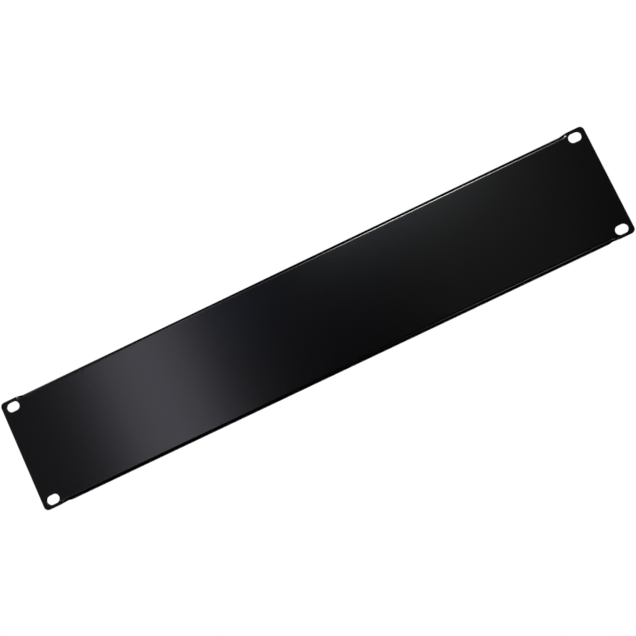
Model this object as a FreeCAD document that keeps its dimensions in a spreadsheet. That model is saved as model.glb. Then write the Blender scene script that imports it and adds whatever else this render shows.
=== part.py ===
import FreeCAD, Part
import enum
import math
import os
import Sketcher

# A two-unit blanking panel for a 19 inch rack: one sheet of steel, blanked, punched and folded.
# Frame: X runs along the width, Z is up and the front looks towards -Y. The origin is the centre
# of the four screw slots, on the rear face of the ears, which is the face that meets the rack.
doc = FreeCAD.newDocument("RackBlankingPanel")

# Driving dimensions in millimetres.
SIZES = {
    "panel_width": 482.6,        # over both ears: 19 inches
    "panel_height": 88.1,        # of the ears: two units of 44.45, less 0.8 to clear the neighbours
    "sheet": 1.5,                # thickness of the steel
    "ear_width": 18.8,           # flat end of the panel, beyond the folded lips
    "ear_corner_radius": 3.5,
    "slot_width": 7.0,           # clears an M6 screw
    "slot_length": 10.0,         # end to end, along the panel
    "slot_to_end": 8.75,         # slot centre to the end of its ear: 465.1 between the columns
    "slot_to_side": 5.95,        # slot centre to the top or bottom of its ear: 76.2 between the rows
    "fold_setback": 0.55,        # outside of a lip, inwards of the ear's edge
    "lip_depth": 12.0,           # front face to the free edge of a lip
    "lip_corner_radius": 2.0,    # free corners of the lips
    "bend_inside_radius": 1.5,
    "run_out": 5.5,              # stretch of ear over which the end of a fold fades to flat
    "edge_break": 0.25,          # rounding that the punch leaves along the front edges
}

sheet = doc.addObject("Spreadsheet::Sheet", "Sizes")
for row, (alias, value) in enumerate(SIZES.items(), start=1):
    sheet.set(f"A{row}", alias)
    sheet.set(f"B{row}", str(value))
    sheet.setAlias(f"B{row}", alias)
doc.recompute()

# Lengths that several features share, worked out from the sheet.
HALF_WIDTH = "Sizes.panel_width / 2"
HALF_HEIGHT = "Sizes.panel_height / 2"
HALF_LIP = "(Sizes.panel_width / 2 - Sizes.ear_width)"
FOLD_TOP = "(Sizes.panel_height / 2 - Sizes.fold_setback)"
OUTSIDE_RADIUS = "(Sizes.bend_inside_radius + Sizes.sheet)"
BEND_START = f"({FOLD_TOP} - {OUTSIDE_RADIUS})"
SLOT_COLUMN = "(Sizes.panel_width / 2 - Sizes.slot_to_end)"
SLOT_ROW = "(Sizes.panel_height / 2 - Sizes.slot_to_side)"
SLOT_REACH = "((Sizes.slot_length - Sizes.slot_width) / 2)"

TOLERANCE = 1e-4


class Spot(enum.IntEnum):
    """Sketcher's own numbers for the points of an edge, and for a sketch's two axes."""
    START = 1
    END = 2
    CENTRE = 3
    LEVEL_AXIS = -1
    UPRIGHT_AXIS = -2


START, END, CENTRE = Spot.START, Spot.END, Spot.CENTRE
LEVEL_AXIS, UPRIGHT_AXIS = Spot.LEVEL_AXIS, Spot.UPRIGHT_AXIS


body = doc.addObject("PartDesign::Body", "BlankingPanel")
body.Label = "blanking_panel"


def worked_out(expression):
    """Number that an expression on the sheet comes to."""
    result = sheet.evalExpression(expression)
    return getattr(result, "Value", result)


def origin_feature(role):
    """One of the body's own planes or axes."""
    return next(item for item in body.Origin.OriginFeatures if item.Role == role)


def new_sketch(name, role, lift="0"):
    """Empty sketch on an origin plane, lifted along the plane's normal."""
    sketch = body.newObject("Sketcher::SketchObject", name)
    sketch.AttachmentSupport = [(origin_feature(role), "")]
    sketch.MapMode = "FlatFace"
    sketch.setExpression("AttachmentOffset.Base.z", lift)
    return sketch


def line(sketch, start, end):
    """Straight edge between two points of a sketch."""
    return sketch.addGeometry(Part.LineSegment(FreeCAD.Vector(*start), FreeCAD.Vector(*end)), False)


def arc(sketch, centre, radius, first, last):
    """Arc that runs anticlockwise between two angles in degrees."""
    circle = Part.Circle(FreeCAD.Vector(*centre), FreeCAD.Vector(0, 0, 1), radius)
    part = Part.ArcOfCircle(circle, math.radians(first), math.radians(last))
    return sketch.addGeometry(part, False)


def tie(sketch, kind, *where):
    """Geometric constraint, which has no size of its own."""
    sketch.addConstraint(Sketcher.Constraint(kind, *where))


def dimension(sketch, name, expression, kind, *where):
    """Named dimension that follows an expression on the sheet."""
    value = worked_out(expression)
    if kind == "Angle":
        value = math.radians(value)
    index = sketch.addConstraint(Sketcher.Constraint(kind, *where, value))
    sketch.renameConstraint(index, name)
    sketch.setExpression(f"Constraints.{name}", expression)


def repeated(name, original, steps):
    """Feature carried round by mirrors or rows, each step repeating all that came before it."""
    every = body.newObject("PartDesign::MultiTransform", name)
    every.Originals = [original]
    every.Transformations = steps
    body.Tip = every
    return every


def mirror(name, role):
    """Step that repeats a feature on the other side of an origin plane."""
    step = doc.addObject("PartDesign::Mirrored", name)
    step.MirrorPlane = (origin_feature(role), [""])
    return step


def pair(name, role, spacing):
    """Step that repeats a feature once, backwards along an origin axis."""
    step = doc.addObject("PartDesign::LinearPattern", name)
    step.Direction = (origin_feature(role), [""])
    step.Reversed = True
    step.Occurrences = 2
    step.setExpression("Length", spacing)
    return step


# The folded sheet: a flat face with a lip turned back along its top and along its bottom. Its
# section is drawn looking along the width, with the front to the left.

def fold_section():
    """Section through the face, the two bends and the two lips."""
    sketch = new_sketch("FoldSection", "YZ_Plane")
    thickness = worked_out("Sizes.sheet")
    inner = worked_out("Sizes.bend_inside_radius")
    outer = worked_out(OUTSIDE_RADIUS)
    top = worked_out(FOLD_TOP)
    bend = worked_out(BEND_START)
    inside_top = top - thickness
    rear = worked_out("Sizes.lip_depth - Sizes.sheet")

    front = line(sketch, (-thickness, -bend), (-thickness, bend))
    top_outer = arc(sketch, (inner, bend), outer, 90, 180)
    top_outside = line(sketch, (inner, top), (rear, top))
    top_edge = line(sketch, (rear, top), (rear, inside_top))
    top_inside = line(sketch, (rear, inside_top), (inner, inside_top))
    top_inner = arc(sketch, (inner, bend), inner, 90, 180)
    back = line(sketch, (0, bend), (0, -bend))
    low_inner = arc(sketch, (inner, -bend), inner, 180, 270)
    low_inside = line(sketch, (inner, -inside_top), (rear, -inside_top))
    low_edge = line(sketch, (rear, -inside_top), (rear, -top))
    low_outside = line(sketch, (rear, -top), (inner, -top))
    low_outer = arc(sketch, (inner, -bend), outer, 180, 270)

    for upright in (front, top_edge, low_edge):
        tie(sketch, "Vertical", upright)
    for level in (top_outside, top_inside, low_inside, low_outside):
        tie(sketch, "Horizontal", level)
    tie(sketch, "Tangent", front, END, top_outer, END)
    tie(sketch, "Tangent", top_outer, START, top_outside, START)
    tie(sketch, "Coincident", top_outside, END, top_edge, START)
    tie(sketch, "Coincident", top_edge, END, top_inside, START)
    tie(sketch, "Tangent", top_inside, END, top_inner, START)
    tie(sketch, "Tangent", top_inner, END, back, START)
    tie(sketch, "Tangent", back, END, low_inner, START)
    tie(sketch, "Tangent", low_inner, END, low_inside, START)
    tie(sketch, "Coincident", low_inside, END, low_edge, START)
    tie(sketch, "Coincident", low_edge, END, low_outside, START)
    tie(sketch, "Tangent", low_outside, END, low_outer, END)
    tie(sketch, "Tangent", low_outer, START, front, START)
    tie(sketch, "Coincident", top_outer, CENTRE, top_inner, CENTRE)
    tie(sketch, "Coincident", low_outer, CENTRE, low_inner, CENTRE)
    tie(sketch, "Symmetric", back, START, back, END, LEVEL_AXIS)
    tie(sketch, "PointOnObject", back, START, UPRIGHT_AXIS)
    tie(sketch, "Equal", top_inner, low_inner)
    tie(sketch, "Vertical", top_edge, END, low_edge, START)
    dimension(sketch, "thickness", "Sizes.sheet", "DistanceX", front, END, back, START)
    dimension(sketch, "inside", "Sizes.bend_inside_radius", "Radius", top_inner)
    dimension(sketch, "depth", "Sizes.lip_depth", "DistanceX", front, END, top_edge, START)
    dimension(sketch, "height", f"2 * {FOLD_TOP}", "DistanceY", low_edge, END, top_edge, START)
    return sketch


folded_sheet = body.newObject("PartDesign::Pad", "FoldedSheet")
folded_sheet.Profile = fold_section()
folded_sheet.SideType = "Symmetric"
folded_sheet.setExpression("Length", f"2 * {HALF_LIP}")


# The ears: the sheet runs on flat past the lips at both ends, a little taller than the folds. At
# their inner corners they leave room for the stretch where the folds fade out.

def ear_outline():
    """Right-hand ear, seen from the front."""
    sketch = new_sketch("EarOutline", "XZ_Plane")
    inner = worked_out(HALF_LIP)
    flat = worked_out(f"{HALF_LIP} + Sizes.run_out")
    outer = worked_out(HALF_WIDTH)
    top = worked_out(HALF_HEIGHT)
    bend = worked_out(BEND_START)
    radius = worked_out("Sizes.ear_corner_radius")

    top_step = line(sketch, (inner, bend), (flat, bend))
    top_rise = line(sketch, (flat, bend), (flat, top))
    top_side = line(sketch, (flat, top), (outer - radius, top))
    top_corner = arc(sketch, (outer - radius, top - radius), radius, 0, 90)
    end_side = line(sketch, (outer, top - radius), (outer, radius - top))
    low_corner = arc(sketch, (outer - radius, radius - top), radius, 270, 360)
    low_side = line(sketch, (outer - radius, -top), (flat, -top))
    low_rise = line(sketch, (flat, -top), (flat, -bend))
    low_step = line(sketch, (flat, -bend), (inner, -bend))
    seam = line(sketch, (inner, -bend), (inner, bend))

    for level in (top_step, top_side, low_side, low_step):
        tie(sketch, "Horizontal", level)
    for upright in (top_rise, low_rise):
        tie(sketch, "Vertical", upright)
    tie(sketch, "Coincident", top_step, END, top_rise, START)
    tie(sketch, "Coincident", top_rise, END, top_side, START)
    tie(sketch, "Tangent", top_side, END, top_corner, END)
    tie(sketch, "Tangent", top_corner, START, end_side, START)
    tie(sketch, "Tangent", end_side, END, low_corner, END)
    tie(sketch, "Tangent", low_corner, START, low_side, START)
    tie(sketch, "Coincident", low_side, END, low_rise, START)
    tie(sketch, "Coincident", low_rise, END, low_step, START)
    tie(sketch, "Coincident", low_step, END, seam, START)
    tie(sketch, "Coincident", seam, END, top_step, START)
    tie(sketch, "Symmetric", end_side, START, end_side, END, LEVEL_AXIS)
    tie(sketch, "Symmetric", seam, START, seam, END, LEVEL_AXIS)
    tie(sketch, "Equal", top_corner, low_corner)
    tie(sketch, "Vertical", top_rise, START, low_rise, END)
    dimension(sketch, "corner", "Sizes.ear_corner_radius", "Radius", top_corner)
    dimension(sketch, "height", "Sizes.panel_height", "DistanceY", low_side, START, top_side, END)
    dimension(sketch, "reach", HALF_WIDTH, "DistanceX", LEVEL_AXIS, START, end_side, START)
    dimension(sketch, "ear", "Sizes.ear_width", "DistanceX", seam, END, end_side, START)
    dimension(sketch, "run_out", "Sizes.run_out", "DistanceX", top_step, START, top_step, END)
    dimension(sketch, "bend", BEND_START, "DistanceY", LEVEL_AXIS, START, seam, END)
    return sketch


right_ear = body.newObject("PartDesign::Pad", "RightEar")
right_ear.Profile = ear_outline()
right_ear.setExpression("Length", "Sizes.sheet")

both_ears = body.newObject("PartDesign::Mirrored", "BothEars")
both_ears.Originals = [right_ear]
both_ears.MirrorPlane = (origin_feature("YZ_Plane"), [""])
body.Tip = both_ears
doc.recompute()


# The run-outs: a lip is folded with no relief cut at its end, so the bend does not stop dead but
# fades into the ear. Sections of the sheet's edge, all starting from the same bend line, open
# from a right angle to flat while the edge climbs from the top of the fold to that of the ear.

RUN_OUT_STEPS = 3


def bent_section(sketch, foot, step):
    """Part-bent edge of the sheet: two arcs about one centre, which lies level with the foot."""
    degrees = 90 * (1 - step / RUN_OUT_STEPS)
    climb = f"Sizes.fold_setback * {step} / {RUN_OUT_STEPS}"
    outside = f"({OUTSIDE_RADIUS} + {climb}) / sin({degrees} deg)"
    outer = worked_out(outside)
    inner = outer - worked_out("Sizes.sheet")
    bend = worked_out(BEND_START)
    back_off = math.cos(math.radians(degrees))
    rise = math.sin(math.radians(degrees))
    inner_end = (inner - inner * back_off, bend + inner * rise)
    outer_end = (inner - outer * back_off, bend + outer * rise)

    front = arc(sketch, (inner, bend), outer, 180 - degrees, 180)
    back = arc(sketch, (inner, bend), inner, 180 - degrees, 180)
    edge = line(sketch, inner_end, outer_end)
    tie(sketch, "Coincident", foot, START, front, END)
    tie(sketch, "Coincident", foot, END, back, END)
    tie(sketch, "Coincident", edge, START, back, START)
    tie(sketch, "Coincident", edge, END, front, START)
    tie(sketch, "Coincident", front, CENTRE, back, CENTRE)
    tie(sketch, "PointOnObject", front, CENTRE, foot)
    tie(sketch, "PointOnObject", front, CENTRE, edge)
    dimension(sketch, "outside", outside, "Radius", front)
    dimension(sketch, "angle", f"{degrees} deg", "Angle", edge, START, foot, END)


def flat_section(sketch, foot):
    """Edge of the sheet where the fold has faded out, as tall as the ear."""
    thickness = worked_out("Sizes.sheet")
    bend = worked_out(BEND_START)
    top = worked_out(HALF_HEIGHT)
    back = line(sketch, (0, bend), (0, top))
    edge = line(sketch, (0, top), (-thickness, top))
    front = line(sketch, (-thickness, top), (-thickness, bend))
    tie(sketch, "Horizontal", edge)
    tie(sketch, "Vertical", back)
    tie(sketch, "Vertical", front)
    tie(sketch, "Coincident", foot, END, back, START)
    tie(sketch, "Coincident", back, END, edge, START)
    tie(sketch, "Coincident", edge, END, front, START)
    tie(sketch, "Coincident", front, END, foot, START)
    dimension(sketch, "top", HALF_HEIGHT, "DistanceY", LEVEL_AXIS, START, edge, START)


def run_out_section(step):
    """Section of the sheet above the bend line, some steps along the run-out."""
    lift = f"{HALF_LIP} + Sizes.run_out * {step} / {RUN_OUT_STEPS}"
    sketch = new_sketch(f"RunOutSection{step}", "YZ_Plane", lift)
    bend = worked_out(BEND_START)
    foot = line(sketch, (-worked_out("Sizes.sheet"), bend), (0, bend))
    if step < RUN_OUT_STEPS:
        bent_section(sketch, foot, step)
    else:
        flat_section(sketch, foot)
    tie(sketch, "Horizontal", foot)
    tie(sketch, "PointOnObject", foot, END, UPRIGHT_AXIS)
    dimension(sketch, "thickness", "Sizes.sheet", "DistanceX", foot, START, foot, END)
    dimension(sketch, "bend", BEND_START, "DistanceY", LEVEL_AXIS, START, foot, START)
    return sketch


run_out = body.newObject("PartDesign::AdditiveLoft", "RunOut")
run_out_sections = [run_out_section(step) for step in range(RUN_OUT_STEPS + 1)]
run_out.Profile = run_out_sections[0]
run_out.Sections = run_out_sections[1:]
run_outs = repeated("RunOuts", run_out, [
    mirror("RunOutBelow", "XY_Plane"),
    mirror("RunOutOpposite", "YZ_Plane"),
])
doc.recompute()


# The screw slots: one in each corner of the panel, lying along it, so that the screws still line
# up with rails that stand a little too near or too far apart.

def slot_outline():
    """Slot in the upper right corner: two flanks joined by round ends."""
    sketch = new_sketch("SlotOutline", "XZ_Plane")
    column = worked_out(SLOT_COLUMN)
    row = worked_out(SLOT_ROW)
    radius = worked_out("Sizes.slot_width / 2")
    reach = worked_out(SLOT_REACH)

    top_flank = line(sketch, (column - reach, row + radius), (column + reach, row + radius))
    outer_end = arc(sketch, (column + reach, row), radius, -90, 90)
    low_flank = line(sketch, (column + reach, row - radius), (column - reach, row - radius))
    inner_end = arc(sketch, (column - reach, row), radius, 90, 270)

    tie(sketch, "Horizontal", top_flank)
    tie(sketch, "Tangent", top_flank, END, outer_end, END)
    tie(sketch, "Tangent", outer_end, START, low_flank, START)
    tie(sketch, "Tangent", low_flank, END, inner_end, END)
    tie(sketch, "Tangent", inner_end, START, top_flank, START)
    dimension(sketch, "radius", "Sizes.slot_width / 2", "Radius", outer_end)
    dimension(sketch, "between_ends", f"2 * {SLOT_REACH}", "DistanceX",
              inner_end, CENTRE, outer_end, CENTRE)
    dimension(sketch, "row", SLOT_ROW, "DistanceY", LEVEL_AXIS, START, inner_end, CENTRE)
    dimension(sketch, "column", f"{SLOT_COLUMN} - {SLOT_REACH}", "DistanceX",
              LEVEL_AXIS, START, inner_end, CENTRE)
    return sketch


slot = body.newObject("PartDesign::Pocket", "Slot")
slot.Profile = slot_outline()
slot.Type = "ThroughAll"
slot.Reversed = True
slots = repeated("Slots", slot, [
    pair("SlotColumns", "X_Axis", f"2 * {SLOT_COLUMN}"),
    pair("SlotRows", "Z_Axis", f"2 * {SLOT_ROW}"),
])
doc.recompute()

SLOT_COUNT = 4
punched_out = SLOT_COUNT * Part.Face(slot.Profile[0].Shape.Wires).Area * worked_out("Sizes.sheet")
if abs(run_outs.Shape.Volume - slots.Shape.Volume - punched_out) > TOLERANCE:
    raise RuntimeError("the slots are not cut right through")


# The lips' free corners are rounded off, and the punch has drawn the front edges in a little.

def lip_corner_edges(shape):
    """Short edges at the four free corners of the lips."""
    side = worked_out(HALF_LIP)
    rear = worked_out("Sizes.lip_depth - Sizes.sheet")
    names = []
    for number, edge in enumerate(shape.Edges, start=1):
        box = edge.BoundBox
        upright = box.XLength < TOLERANCE and box.YLength < TOLERANCE
        if upright and abs(abs(box.XMin) - side) < TOLERANCE and abs(box.YMin - rear) < TOLERANCE:
            names.append(f"Edge{number}")
    return names


def punched_edges(shape):
    """Edges where the front face meets a wall that stands square to it."""
    front = -worked_out("Sizes.sheet")
    names = []
    for number, edge in enumerate(shape.Edges, start=1):
        box = edge.BoundBox
        if abs(box.YMin - front) > TOLERANCE or abs(box.YMax - front) > TOLERANCE:
            continue
        middle = edge.valueAt((edge.FirstParameter + edge.LastParameter) / 2)
        for face in shape.ancestorsOfType(edge, Part.Face):
            normal = face.normalAt(*face.Surface.parameter(middle))
            if abs(normal.y) < TOLERANCE:
                names.append(f"Edge{number}")
    return names


lip_corners = body.newObject("PartDesign::Fillet", "LipCorners")
lip_corners.Base = (slots, lip_corner_edges(slots.Shape))
lip_corners.setExpression("Radius", "Sizes.lip_corner_radius")
doc.recompute()

edge_break = body.newObject("PartDesign::Fillet", "EdgeBreak")
edge_break.Base = (lip_corners, punched_edges(lip_corners.Shape))
edge_break.setExpression("Radius", "Sizes.edge_break")
doc.recompute()

# Nothing is written unless every feature has been made and the solid is sound.
failed = [item.Name for item in doc.Objects if {"Invalid", "Error"} & set(item.State)]
if failed:
    raise RuntimeError(f"features not made: {failed}")
panel = body.Shape
if panel.isNull() or not panel.isValid() or len(panel.Solids) != 1:
    raise RuntimeError("the panel is not one sound solid")
os.makedirs("parts", exist_ok=True)
panel.exportStep(f"parts/{body.Label}.step")
print(f"{body.Label}: {panel.Volume:.1f} mm3 in {len(panel.Faces)} faces")
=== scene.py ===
import math

import bpy
from mathutils import Matrix, Vector


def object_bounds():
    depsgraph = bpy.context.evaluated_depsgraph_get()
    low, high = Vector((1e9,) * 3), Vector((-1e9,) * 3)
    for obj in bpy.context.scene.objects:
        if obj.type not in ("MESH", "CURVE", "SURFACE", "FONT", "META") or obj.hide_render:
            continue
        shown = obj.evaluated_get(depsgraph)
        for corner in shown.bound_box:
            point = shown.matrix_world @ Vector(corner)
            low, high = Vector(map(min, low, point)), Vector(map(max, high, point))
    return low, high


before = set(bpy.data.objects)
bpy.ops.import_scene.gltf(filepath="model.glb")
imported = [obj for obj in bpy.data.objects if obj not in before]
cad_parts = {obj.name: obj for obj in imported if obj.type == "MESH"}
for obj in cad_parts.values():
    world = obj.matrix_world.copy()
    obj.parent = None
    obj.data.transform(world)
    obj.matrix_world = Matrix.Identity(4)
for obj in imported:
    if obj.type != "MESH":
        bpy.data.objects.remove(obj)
cad_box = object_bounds()


# The panel itself: one blanked, punched and folded sheet of steel, which comes whole from the
# CAD. It is finished all over in satin black powder coat, sprayed on dry and baked, so its skin
# is very slightly rippled and its black and its gloss are a little uneven.

class Socket:
    """A shader node's output. Python's operators on it add Math nodes."""

    def __init__(self, finish, socket):
        self.finish, self.socket = finish, socket

    def maths(self, operation, *values):
        return self.finish.node("ShaderNodeMath", {"operation": operation},
                                dict(enumerate(values)))

    def __add__(self, other):
        return self.maths("ADD", self, other)

    def __mul__(self, other):
        return self.maths("MULTIPLY", self, other)

    __radd__, __rmul__ = __add__, __mul__


class Finish:
    """The shader tree of a material or of the world, emptied of what Blender puts there."""

    def __init__(self, owner, end="ShaderNodeOutputMaterial"):
        self.owner, self.end = owner, end
        owner.use_nodes = True
        self.tree = owner.node_tree
        self.tree.nodes.clear()

    def node(self, kind, settings=None, values=None, output=0):
        """Adds a node: its settings first, then its sockets by name or by number."""
        made = self.tree.nodes.new(kind)
        for key, setting in (settings or {}).items():
            setattr(made, key, setting)
        for key, value in (values or {}).items():
            socket = made.inputs[key]
            if isinstance(value, Socket):
                self.tree.links.new(value.socket, socket)
            else:
                socket.default_value = value
        return None if output is None else Socket(self, made.outputs[output])

    def surface(self, shader):
        """Ends the tree with a shader."""
        self.node(self.end, None, {"Surface": shader}, None)


JET_BLACK = (0.0004, 0.0004, 0.0008, 1.0)
SOOT_BLACK = (0.0008, 0.0008, 0.0012, 1.0)
SATIN = 0.17            # roughness where the grain is finest
UNEVEN_GLOSS = 0.02     # roughness that the grain adds
RIPPLE_PER_METRE = 420.0
GRAIN_PER_METRE = 2600.0
RIPPLE_HEIGHT = 0.000012    # metres
GRAIN_SHARE = 0.1           # of the ripple's height

coat = Finish(bpy.data.materials.new("satin_black_powder_coat"))
place = coat.node("ShaderNodeTexCoord", output="Object")
ripple = coat.node("ShaderNodeTexNoise", None, {
    "Vector": place, "Scale": RIPPLE_PER_METRE, "Detail": 1.0, "Roughness": 0.4})
grain = coat.node("ShaderNodeTexNoise", None, {
    "Vector": place, "Scale": GRAIN_PER_METRE, "Detail": 2.0, "Roughness": 0.5})
black = coat.node("ShaderNodeMix", {"data_type": "RGBA"}, {
    "Factor": ripple, 6: JET_BLACK, 7: SOOT_BLACK}, 2)
skin = coat.node("ShaderNodeBump", None, {
    "Strength": 1.0, "Distance": RIPPLE_HEIGHT, "Height": ripple + grain * GRAIN_SHARE})
coat.surface(coat.node("ShaderNodeBsdfPrincipled", None, {
    "Base Color": black, "Roughness": SATIN + grain * UNEVEN_GLOSS, "Normal": skin}))

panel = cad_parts["blanking_panel"]
for slot in panel.material_slots:
    slot.material = coat.owner


# The studio: a white room with a pale floor, far enough off that nothing in it nears the panel.
# The room and the floor look whiter to the eye, and in the coat, than they light the panel.

WHITE = (1.0, 1.0, 1.0, 1.0)
ROOM_LIGHT = 0.6    # of the white that the room shows


def in_view(finish):
    """1 on rays that show a thing, straight or in a shiny one, and 0 on rays that light others."""
    return (finish.node("ShaderNodeLightPath", output="Is Camera Ray")
            + finish.node("ShaderNodeLightPath", output="Is Glossy Ray")
            + finish.node("ShaderNodeLightPath", output="Is Transmission Ray"))


room = Finish(bpy.data.worlds.new("white_room"), "ShaderNodeOutputWorld")
strength = room.node("ShaderNodeMapRange", None, {
    "Value": in_view(room), "To Min": ROOM_LIGHT, "To Max": 1.0})
room.surface(room.node("ShaderNodeBackground", None, {"Color": WHITE, "Strength": strength}))
bpy.context.scene.world = room.owner


def sheet(name, outline, width):
    """Sheet across the room, bent along an outline of (y, z) points."""
    points = [(x, y, z) for y, z in outline for x in (-width / 2, width / 2)]
    faces = [(2 * i, 2 * i + 1, 2 * i + 3, 2 * i + 2) for i in range(len(outline) - 1)]
    mesh = bpy.data.meshes.new(name)
    mesh.from_pydata(points, [], faces)
    made = bpy.data.objects.new(name, mesh)
    bpy.context.scene.collection.objects.link(made)
    return made


FLOOR_WIDTH = 5.0
FLOOR_LEVEL = -1.1
PALE = (0.85, 0.85, 0.85, 1.0)
PAPER_GLOW = 0.8    # how far the paper, where it is in view, is lit from within

floor = sheet("pale_floor", [(-FLOOR_WIDTH / 2, FLOOR_LEVEL), (FLOOR_WIDTH / 2, FLOOR_LEVEL)],
              FLOOR_WIDTH)
paper = Finish(bpy.data.materials.new("pale_paper"))
pale = paper.node("ShaderNodeBsdfDiffuse", None, {"Color": PALE})
white = paper.node("ShaderNodeEmission", None, {"Color": WHITE, "Strength": 1.0})
paper.surface(paper.node("ShaderNodeMixShader", None, {
    0: in_view(paper) * PAPER_GLOW, 1: pale, 2: white}))
floor.data.materials.append(paper.owner)


# Black card, which a glossy black thing is shot among: it shows in the coat and nowhere else. One
# bends round the front of the room, and two shield the folds from the white behind the panel.

FELT_BLACK = (0.01, 0.01, 0.01, 1.0)
CARD_FRONT, CARD_BACK = -2.3, 1.0
CARD_FOOT, CARD_TOP = -1.05, 2.6
LOW_CARD_RISES_TO, REAR_CARD_HANGS_TO = -0.07, 0.21

felt = Finish(bpy.data.materials.new("black_felt"))
felt.surface(felt.node("ShaderNodeBsdfDiffuse", None, {"Color": FELT_BLACK}))
front_card = sheet("front_card", [(0.0, CARD_FOOT), (CARD_FRONT, CARD_FOOT),
                                  (CARD_FRONT, CARD_TOP), (0.0, CARD_TOP)], width=2.4)
low_card = sheet("low_card", [(0.0, CARD_FOOT), (CARD_BACK, CARD_FOOT),
                              (CARD_BACK, LOW_CARD_RISES_TO)], width=1.5)
rear_card = sheet("rear_card", [(0.0, CARD_TOP), (CARD_BACK, CARD_TOP),
                                (CARD_BACK, REAR_CARD_HANGS_TO)], width=1.5)
for card in (front_card, low_card, rear_card):
    card.visible_camera = False
    card.visible_diffuse = False
    card.visible_transmission = False
    card.visible_shadow = False
    card.data.materials.append(felt.owner)


# The lamps: soft boxes, most of them on one wall in front of the panel, where its face and its
# upper fold mirror them. They face the panel's plane squarely unless they are aimed.

LAMP_WALL = -1.6
low, high = cad_box
middle = (low + high) / 2


def softbox(name, spot, width, height, watts, colour=(1.0, 1.0, 1.0), aim=None):
    """Rectangular soft lamp."""
    lamp = bpy.data.lights.new(name, "AREA")
    lamp.shape = "RECTANGLE"
    lamp.size, lamp.size_y = width, height
    lamp.energy = watts
    lamp.color = colour
    box = bpy.data.objects.new(name, lamp)
    box.location = spot
    ahead = Vector((spot[0], 0.0, spot[2])) if aim is None else aim
    box.rotation_euler = (ahead - Vector(spot)).to_track_quat("-Z", "Y").to_euler()
    box.visible_camera = False
    bpy.context.scene.collection.objects.link(box)


# The band down the panel, and the bright line along the upper fold with its fainter far end.
softbox("strip_box", (-0.446, LAMP_WALL, 0.75), width=0.2, height=3.5, watts=5.0,
        colour=(0.875, 0.855, 1.0))
softbox("high_box", (0.25, LAMP_WALL, 0.99), width=0.35, height=0.22, watts=13.1,
        colour=(1.0, 1.0, 0.98), aim=middle)
softbox("far_box", (0.475, LAMP_WALL, 0.99), width=0.11, height=0.22, watts=1.7,
        colour=(1.0, 1.0, 0.98), aim=middle)
# The glow under the upper fold, the greyer right end and the cooler edge of the band.
softbox("skirt_box", (0.187, LAMP_WALL, 0.4), width=0.41, height=0.1, watts=0.295,
        colour=(0.81, 0.91, 1.0))
softbox("right_box", (0.354, LAMP_WALL, 0.29), width=0.363, height=0.7, watts=0.107,
        colour=(1.0, 0.97, 0.81))
softbox("cool_box", (-0.227, LAMP_WALL, 0.61), width=0.08, height=0.77, watts=0.0735,
        colour=(0.18, 0.46, 1.0))
# The faint lines along the lower fold.
softbox("low_right_box", (0.31, -0.85, -1.0), width=0.3, height=0.3, watts=0.95, aim=middle)
softbox("low_left_box", (-0.62, -1.2, -1.0), width=0.64, height=0.8, watts=0.9, aim=middle)


# The camera stands in front, a little low and to the right, and is rolled, so that the panel
# climbs from the lower left to the upper right.

LENS, SENSOR = 64.96, 36.0      # millimetres
ROLL = math.radians(25.247)
STAND = Vector((0.03777, -0.84575, -0.10253))
LOOKS_AT = Vector((0.0041, -0.0015, -0.00082))

camera = bpy.data.objects.new("camera", bpy.data.cameras.new("camera"))
camera.data.sensor_width = SENSOR
camera.data.lens = LENS
camera.matrix_world = (Matrix.Translation(STAND)
                       @ (LOOKS_AT - STAND).to_track_quat("-Z", "Y").to_matrix().to_4x4()
                       @ Matrix.Rotation(-ROLL, 4, "Z"))
bpy.context.scene.collection.objects.link(camera)
bpy.context.scene.camera = camera

bpy.context.scene.view_settings.view_transform = "Standard"
